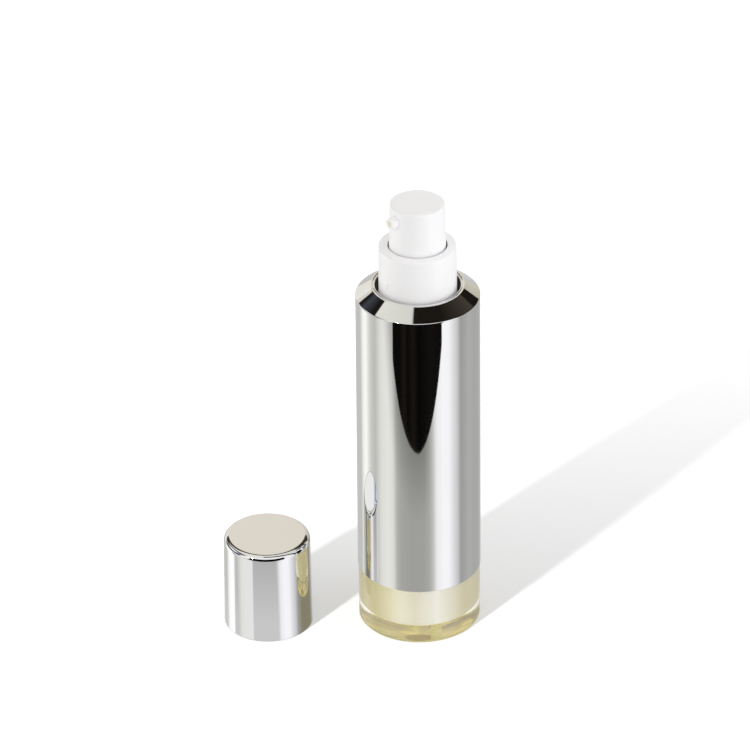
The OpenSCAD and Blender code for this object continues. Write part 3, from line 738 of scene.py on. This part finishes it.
# The dark beyond the table's front edge, with faint warm streaks, and its sides
TABLE_EDGE = 0.1125
TABLE_SKEW = 0.14
TABLE_LEFT = -48.5
TABLE_RIGHT = 43.8
TABLE_DARK = (
    (-50, (0.003, 0.003, 0.0025)), (-34, (0.004, 0.0035, 0.003)), (-27, (0.013, 0.009, 0.007)),
    (-20, (0.003, 0.003, 0.0025)), (-10, (0.010, 0.008, 0.006)), (0, (0.002, 0.002, 0.002)),
    (22, (0.007, 0.006, 0.005)), (50, (0.003, 0.003, 0.0025)),
)
# How the floor darkens towards that edge: from, to, level at the edge, and in which directions
TABLE_FADE = (-0.115, -0.076, 0.60)
TABLE_FADE_AT = (-90, 18)
# Side of the floor, and its depth below the foot, which keeps air under the clear base, in metres
FLOOR_SIZE = 8.0
FLOOR_DROP = 0.00002
# White of the floor, and the light that it sends up to the object
FLOOR_WHITE = 0.45
FLOOR_BOUNCE = 0.92
# Painted light on the floor: a glow that grows from in front of the object to behind it, so that the shadow
# fades, and how far off each end is
PAINTED_GLOW_NEAR = 0.35
PAINTED_GLOW_FAR = 0.635
PAINTED_GLOW_FROM = -0.02
PAINTED_GLOW_TO = 0.125


def floor_pattern(n, ray, where):
    """The floor in reflections: soft streaks, other ones round the cap, and the table's dark front."""
    toward = n.add("ShaderNodeNewGeometry").outputs["Incoming"]
    x, y, _ = picture_axes(n, toward)
    angle = n.math("DEGREES", n.math("ARCTAN2", n.math("MULTIPLY", x, -1.0), y))
    streaks = n.ramp(angle, [(a, tuple(level * t for t in tint)) for a, level, tint in FLOOR_SECTORS])
    back = n.add("ShaderNodeVectorMath", {0: toward, 3: ray["Ray Length"]}, operation="SCALE").outputs[0]
    seen_from = n.add("ShaderNodeVectorMath", {0: where, 1: back}, operation="ADD").outputs[0]
    flat = n.add("ShaderNodeVectorMath", {0: seen_from, 1: (1, 1, 0)}, operation="MULTIPLY").outputs[0]
    cap = (CAP_AT[0] * MM, CAP_AT[1] * MM, 0)
    off_cap = n.add("ShaderNodeVectorMath", {0: flat, 1: cap}, operation="DISTANCE").outputs["Value"]
    near_cap = n.math("LESS_THAN", off_cap, CAP_REACH)
    least = {0: ray["Ray Length"], 1: CAP_NEAR[0], 2: CAP_FAR[0], 3: CAP_NEAR[1], 4: CAP_FAR[1]}
    grey = n.add("ShaderNodeMapRange", least).outputs[0]
    for start, end, level in CAP_STREAKS:
        streak = n.math("MULTIPLY", between(n, angle, start, end, STREAK_SOFT), level)
        grey = n.math("MAXIMUM", grey, streak)
    grey = n.math("MULTIPLY", grey, n.math("LESS_THAN", angle, CAP_GREY_TO))
    lighter = n.add("ShaderNodeMix", {0: near_cap, 6: streaks, 7: grey},
                    data_type="RGBA", blend_type="LIGHTEN").outputs[2]
    # Painted reflection of the bottle's foot in the cap
    is_foot_reflection = n.math("MULTIPLY", near_cap, between(n, angle, *CAP_FOOT_PAINTED_REFLECTION_AT, FADE_SOFT))
    lighter = n.mix(is_foot_reflection, lighter, (*CAP_FOOT_PAINTED_REFLECTION, 1))
    right, ahead, _ = picture_axes(n, where)
    skew = n.math("MULTIPLY", n.math("MAXIMUM", right, 0.0), TABLE_SKEW)
    dark = n.math("LESS_THAN", n.math("ADD", ahead, skew), -TABLE_EDGE)
    dark = n.math("MULTIPLY", dark, between(n, angle, TABLE_LEFT, TABLE_RIGHT, DARK_SOFT))
    near_edge = n.add("ShaderNodeMapRange", {
        0: ahead, 1: TABLE_FADE[0], 2: TABLE_FADE[1], 3: 1.0 - TABLE_FADE[2], 4: 0.0}).outputs[0]
    near_edge = n.math("MULTIPLY", near_edge, between(n, angle, *TABLE_FADE_AT, FADE_SOFT))
    lighter = n.mix(near_edge, lighter, (0, 0, 0, 1))
    return n.mix(dark, lighter, n.ramp(angle, TABLE_DARK))


def make_floor():
    """A white floor with a painted glow that grows away from the camera. Reflections see it in soft streaks,
    as a floor under studio lamps.
    """
    bm = bmesh.new()
    bmesh.ops.create_grid(bm, x_segments=1, y_segments=1, size=FLOOR_SIZE / 2)
    mesh = bpy.data.meshes.new("floor")
    bm.to_mesh(mesh)
    bm.free()
    floor = link("floor", mesh)
    made, n = new_material("floor")
    ray = n.add("ShaderNodeLightPath").outputs
    where = n.add("ShaderNodeTexCoord").outputs["Object"]
    _, ahead, _ = picture_axes(n, where)
    pattern = floor_pattern(n, ray, where)
    seen = n.add("ShaderNodeEmission", {"Color": pattern, "Strength": 1.0}).outputs[0]
    # Painted light: the floor glows more the farther it lies behind the object
    painted_glow = n.add("ShaderNodeMapRange", {
        0: ahead, 1: PAINTED_GLOW_FROM, 2: PAINTED_GLOW_TO, 3: PAINTED_GLOW_NEAR, 4: PAINTED_GLOW_FAR}).outputs[0]
    diffuse = n.add("ShaderNodeBsdfDiffuse", {"Color": (*[FLOOR_WHITE] * 3, 1)}).outputs[0]
    glow = n.add("ShaderNodeEmission", {"Color": (1, 1, 1, 1), "Strength": painted_glow}).outputs[0]
    lifted = n.add("ShaderNodeAddShader", {0: diffuse, 1: glow}).outputs[0]
    bounce = n.add("ShaderNodeEmission", {"Color": (*[FLOOR_BOUNCE] * 3, 1), "Strength": 1.0}).outputs[0]
    plain = n.add("ShaderNodeMixShader", {0: ray["Is Diffuse Ray"], 1: lifted, 2: bounce}).outputs[0]
    mirrored = n.math("SUBTRACT", ray["Is Glossy Ray"], ray["Is Transmission Ray"])
    mirrored = n.math("MAXIMUM", mirrored, 0.0)
    surface = n.add("ShaderNodeMixShader", {0: mirrored, 1: plain, 2: seen}).outputs[0]
    n.add("ShaderNodeOutputMaterial", {0: surface})
    mesh.materials.append(made)
    floor.location.z = -FLOOR_DROP
    return floor


SUN_ELEVATION = math.radians(29)
SUN_TURN = math.radians(50.5)
SUN_STRENGTH = 0.25
SUN_ANGLE = math.radians(4)
SUN_COLOUR = (1.0, 0.985, 0.95)
# Strength of the same light on the floor alone, which sets how deep the shadow is
SHADOW_STRENGTH = 5.2
# Large soft lamp on the right
LAMP_POWER = 0.95
LAMP_SIZE = 0.5
LAMP_DISTANCE = 0.6
LAMP_ELEVATION = math.radians(20)
LAMP_TURN = math.radians(-20)
LAMP_COLOUR = (0.985, 0.975, 1.0)
# Height in metres at which the lamps aim
AIM_Z = 0.06


def make_lamp(name, kind, turn, elevation, distance=0.0):
    """A lamp that shines along a direction given in the picture's axes."""
    travel = RIGHT * math.cos(turn) + AWAY * math.sin(turn)
    travel = travel * math.cos(elevation) - Vector((0, 0, 1)) * math.sin(elevation)
    lamp = bpy.data.objects.new(name, bpy.data.lights.new(name, kind))
    lamp.rotation_mode = "QUATERNION"
    lamp.rotation_quaternion = travel.to_track_quat("-Z", "Y")
    lamp.location = Vector((0, 0, AIM_Z)) - travel * distance
    bpy.context.scene.collection.objects.link(lamp)
    return lamp


def make_lights(floor):
    """A fairly hard light from the front left for the shadow, and a soft one from the right."""
    sun = make_lamp("sun", "SUN", SUN_TURN, SUN_ELEVATION)
    sun.data.energy = SUN_STRENGTH
    sun.data.angle = SUN_ANGLE
    sun.data.color = SUN_COLOUR
    shadow = make_lamp("shadow", "SUN", SUN_TURN, SUN_ELEVATION)
    shadow.data.energy = SHADOW_STRENGTH
    shadow.data.angle = SUN_ANGLE
    receivers = bpy.data.collections.new("shadow_receivers")
    receivers.objects.link(floor)
    shadow.light_linking.receiver_collection = receivers
    lamp = make_lamp("lamp", "AREA", math.pi + LAMP_TURN, LAMP_ELEVATION, LAMP_DISTANCE)
    lamp.data.energy = LAMP_POWER
    lamp.data.size = LAMP_SIZE
    lamp.data.color = LAMP_COLOUR
    lamp.visible_glossy = False
    lamp.visible_camera = False
    lamp.visible_transmission = False


def make_sleeve():
    """The silver sleeve with its shoulder, its grooved rim and painted shade in the bore round the collar."""
    groove_out = (RIM_R + RIM_BORE_R + RIM_GROOVE_W) / 2
    groove_in = groove_out - RIM_GROOVE_W
    shoulder_rise = (RIM_Z - SHOULDER_Z) / (BODY_R - RIM_R)
    inside_r = BODY_R - SLEEVE_WALL
    sleeve = lathe("sleeve", [
        (SLEEVE_R, FOOT_H, EDGE_FINE), (BODY_R, SHOULDER_Z, SHOULDER_EDGE), (RIM_R, RIM_Z, EDGE_SMALL),
        (groove_out, RIM_Z, 0), (groove_out - RIM_GROOVE_W / 2, RIM_Z - RIM_GROOVE_DEPTH, 0),
        (groove_in, RIM_Z, 0), (RIM_BORE_R, RIM_Z, EDGE_ROUND), (RIM_BORE_R, SKIRT_Z, 0), (RIM_R, SKIRT_Z, 0),
        (RIM_R, RIM_UNDER_Z, 0), (inside_r, RIM_UNDER_Z - shoulder_rise * (inside_r - RIM_R), 0),
        (SLEEVE_R - SLEEVE_WALL, FOOT_H, 0),
    ])
    dress(sleeve, "silver_sleeve", "bottle", "outer_sleeve")
    # Painted shade deep in the rim's bore
    coat(sleeve, SILVER_PAINTED_SHADE, lambda r, z: r < RIM_R - RIM_INSET and z < RIM_Z - RIM_BRIGHT)


def make_base_cup():
    """The clear cup: champagne coat on its bore, painted shade in its air hole, painted reflection round its
    lower edge.
    """
    cup = lathe("clear_cup", [
        (0, 0, 0), (FOOT_R - FOOT_EDGE, 0, EDGE_SMALL), (FOOT_R, FOOT_EDGE, EDGE_SMALL),
        (FOOT_R, FOOT_LINE, 0), (FOOT_R, FOOT_H, 0),
        (CUP_R, FOOT_H, 0), (CUP_R, CUP_LIP_Z, 0), (CUP_BORE_R, CUP_LIP_Z, 0),
        (CUP_BORE_R, CUP_FLOOR, CUP_CORNER), (0, CUP_FLOOR, 0),
    ])
    hole = rod(VENT_R, (VENT_OFF, 0, -CUT_PAST), (VENT_OFF, 0, CUP_FLOOR + CUT_PAST))
    combine(cup, hole, "DIFFERENCE")
    dress(cup, "clear_acrylic", "bottle", "base_cup")
    bore_r, low, high = CUP_BORE_R + ON_WALL, CUP_FLOOR - ON_WALL, CUP_FLOOR + COAT_CLIMB
    # Painted shading and glow on the bore, painted shade on its floor and in the air hole, painted reflection
    # at the edge
    coat(cup, CHAMPAGNE_COAT_PAINTED_LIGHT, lambda r, z: r < bore_r and z > high)
    coat(cup, FLOOR_COAT_PAINTED_LIGHT, lambda r, z: r < bore_r and low < z <= high)
    coat(cup, VENT_PAINTED_LIGHT, lambda r, z: r < CUP_BORE_R and VENT_CLEAR < z <= low)
    coat(cup, EDGE_PAINTED_REFLECTION, lambda r, z: r > FOOT_R - FOOT_EDGE and ON_HEIGHT < z < FOOT_LINE)


def make_inner_bottle():
    """The champagne bottle with its neck, the snap bead round it and the air hole in its floor."""
    bead_low, bead_high = BEAD_Z - BEAD_H / 2, BEAD_Z + BEAD_H / 2
    bead_slope = BEAD_H * BEAD_SLOPE
    roof_z = SKIRT_Z - INNER_WALL
    bottle = lathe("inner_bottle_body", [
        (0, CUP_FLOOR, 0), (INNER_R, CUP_FLOOR, INNER_CORNER), (INNER_R, SKIRT_Z, INNER_SHOULDER),
        (NECK_R, SKIRT_Z, 0), (NECK_R, bead_low, 0), (NECK_R + BEAD_OUT, bead_low + bead_slope, 0),
        (NECK_R + BEAD_OUT, bead_high - bead_slope, 0), (NECK_R, bead_high, 0), (NECK_R, NECK_TOP_Z, 0),
        (NECK_BORE_R, NECK_TOP_Z, 0), (NECK_BORE_R, roof_z, 0), (INNER_BORE_R, roof_z, 0),
        (INNER_BORE_R, CUP_FLOOR + INNER_WALL, INNER_CORNER - INNER_WALL), (0, CUP_FLOOR + INNER_WALL, 0),
    ])
    floor_top = CUP_FLOOR + INNER_WALL
    hole = rod(VENT_R, (VENT_OFF, 0, CUP_FLOOR - CUT_PAST), (VENT_OFF, 0, floor_top + CUT_PAST))
    combine(bottle, hole, "DIFFERENCE")
    dress(bottle, "champagne", "bottle", "inner_bottle")


def make_collar():
    """The white collar with its groove, its guide for the button and the snap bumps."""
    under_z = COLLAR_TOP_Z - COLLAR_TOP_T
    groove_low, groove_high = BEAD_Z - GROOVE_H / 2, BEAD_Z + GROOVE_H / 2
    collar = lathe("collar_skin", [
        (COLLAR_R, COLLAR_Z, EDGE_THIN), (COLLAR_R, COLLAR_TOP_Z, COLLAR_EDGE),
        (GUIDE_BORE_R, COLLAR_TOP_Z, EDGE_SMALL), (GUIDE_BORE_R, GUIDE_Z, 0), (GUIDE_R, GUIDE_Z, 0),
        (GUIDE_R, under_z, 0), (COLLAR_BORE_R, under_z, 0), (COLLAR_BORE_R, groove_high, 0),
        (GROOVE_R, groove_high, 0), (GROOVE_R, groove_low, 0), (COLLAR_BORE_R, groove_low, 0),
        (COLLAR_BORE_R, COLLAR_Z, 0),
    ])
    reach = COLLAR_R + BUMP_OUT - BUMP_R
    for i in range(BUMP_COUNT):
        a = 2 * math.pi * i / BUMP_COUNT - math.pi / 2
        bar = round_bar(BUMP_R, BUMP_H, (reach * math.cos(a), reach * math.sin(a), BUMP_Z))
        combine(collar, bar, "UNION")
    reach_z = BUMP_H / 2 + BUMP_R + BUMP_ROOM
    low, high = max(BUMP_Z - reach_z, BEAD_Z + GROOVE_H), min(BUMP_Z + reach_z, under_z)
    bore = rod(COLLAR_BORE_R, (0, 0, low), (0, 0, high), SEGMENTS)
    combine(bore, rod(GUIDE_R, (0, 0, GUIDE_Z), (0, 0, under_z), SEGMENTS), "DIFFERENCE")
    combine(collar, bore, "DIFFERENCE")
    dress(collar, "white_plastic", "bottle", "collar")
    shade_top = COLLAR_TOP_Z - GUIDE_BRIGHT
    # Painted shade in the gap round the button: the guide's bore is grey below its top edge
    coat(collar, GUIDE_PAINTED_SHADE, lambda r, z: r < GUIDE_BORE_R + ON_WALL and GUIDE_Z < z < shade_top)


def make_actuator():
    """The push button with the socket for the stem and the seat of the nozzle."""
    under_z = ACTUATOR_TOP_Z - ACTUATOR_TOP_T
    button = lathe("push_button", [
        (ACTUATOR_SKIRT_R, ACTUATOR_Z, EDGE_THIN), (ACTUATOR_R, ACTUATOR_TOP_Z, ACTUATOR_EDGE),
        (0, ACTUATOR_TOP_Z, 0), (0, NOZZLE_Z + NOZZLE_BORE_R, 0), (STEM_BORE_R, NOZZLE_Z + NOZZLE_BORE_R, 0),
        (STEM_BORE_R, SOCKET_TOP_Z, 0), (SOCKET_BORE_R, SOCKET_TOP_Z, 0), (SOCKET_BORE_R, SOCKET_Z, 0),
        (SOCKET_R, SOCKET_Z, 0), (SOCKET_R, under_z, 0), (ACTUATOR_BORE_R, under_z, 0),
        (ACTUATOR_BORE_R, ACTUATOR_Z, 0),
    ])
    boss = rod(BOSS_R, (0, -SOCKET_R + BOSS_IN, NOZZLE_Z), (0, -ACTUATOR_BORE_R - BOSS_OUT, NOZZLE_Z))
    combine(button, boss, "UNION")
    channel = rod(NOZZLE_BORE_R, (0, 0, NOZZLE_Z), (0, -NOZZLE_ROOT - CUT_PAST, NOZZLE_Z))
    combine(button, channel, "DIFFERENCE")
    combine(button, rod(NOZZLE_SEAT_R, (0, -NOZZLE_ROOT, NOZZLE_Z), (0, -NOZZLE_TIP, NOZZLE_Z)), "DIFFERENCE")
    dress(button, "white_plastic", "button", "actuator")


def make_nozzle():
    """The outlet tube, turned about Z and then laid along -Y."""
    length = NOZZLE_TIP - NOZZLE_ROOT
    nozzle = lathe("nozzle_tube", [
        (NOZZLE_BORE_R, 0, 0), (NOZZLE_R, 0, 0), (NOZZLE_R, length, NOZZLE_EDGE),
        (NOZZLE_BORE_R, length, EDGE_FINE),
    ])
    dress(nozzle, "white_plastic", "button", "nozzle_insert")
    # The nozzle's bore is beige and glows as painted light
    coat(nozzle, BEIGE_BORE_PAINTED_GLOW, lambda r, z: r < NOZZLE_BORE_R + ON_WALL)
    turn = Matrix.Rotation(math.pi / 2, 4, "X")
    nozzle.data.transform(Matrix.Translation((0, -NOZZLE_ROOT * MM, NOZZLE_Z * MM)) @ turn)


def make_cap():
    """The silver shell of the cap, with a painted contact shadow on the edge that it stands on."""
    cap = lathe("cap_skin", [
        (CAP_R - CAP_WALL, 0, EDGE_THIN), (CAP_R, 0, EDGE_ROUND), (CAP_TOP_R, CAP_H, CAP_EDGE), (0, CAP_H, 0),
        (0, CAP_H - CAP_TOP_T, 0), (CAP_TOP_R - CAP_WALL, CAP_H - CAP_TOP_T, 0),
    ], CAP_AT)
    dress(cap, "silver_cap", "cap", "cap_shell")
    # Painted contact shadow on the edge that the cap stands on
    coat(cap, SILVER_PAINTED_SHADE, lambda r, z: z < CAP_PAINTED_SHADOW_H)


def dress_inner_pieces():
    """Gives the CAD nodes that stay their finishes."""
    slots = {row["node"]: row["material_slot"] for row in frame["record"]["subparts"]}
    for node, obj in frame["nodes"].items():
        for socket in obj.material_slots:
            socket.material = MATERIALS[slots[node]]
        smooth(obj.data)


def squash_spring():
    """Gives the return spring a mesh of its own."""
    spring = frame["nodes"]["pump_spring"]
    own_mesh(spring)


make_camera()
make_world()
make_lights(make_floor())
dress_inner_pieces()
squash_spring()
make_sleeve()
make_base_cup()
make_inner_bottle()
make_collar()
make_actuator()
make_nozzle()
make_cap()

bpy.context.scene.view_settings.view_transform = "Standard"
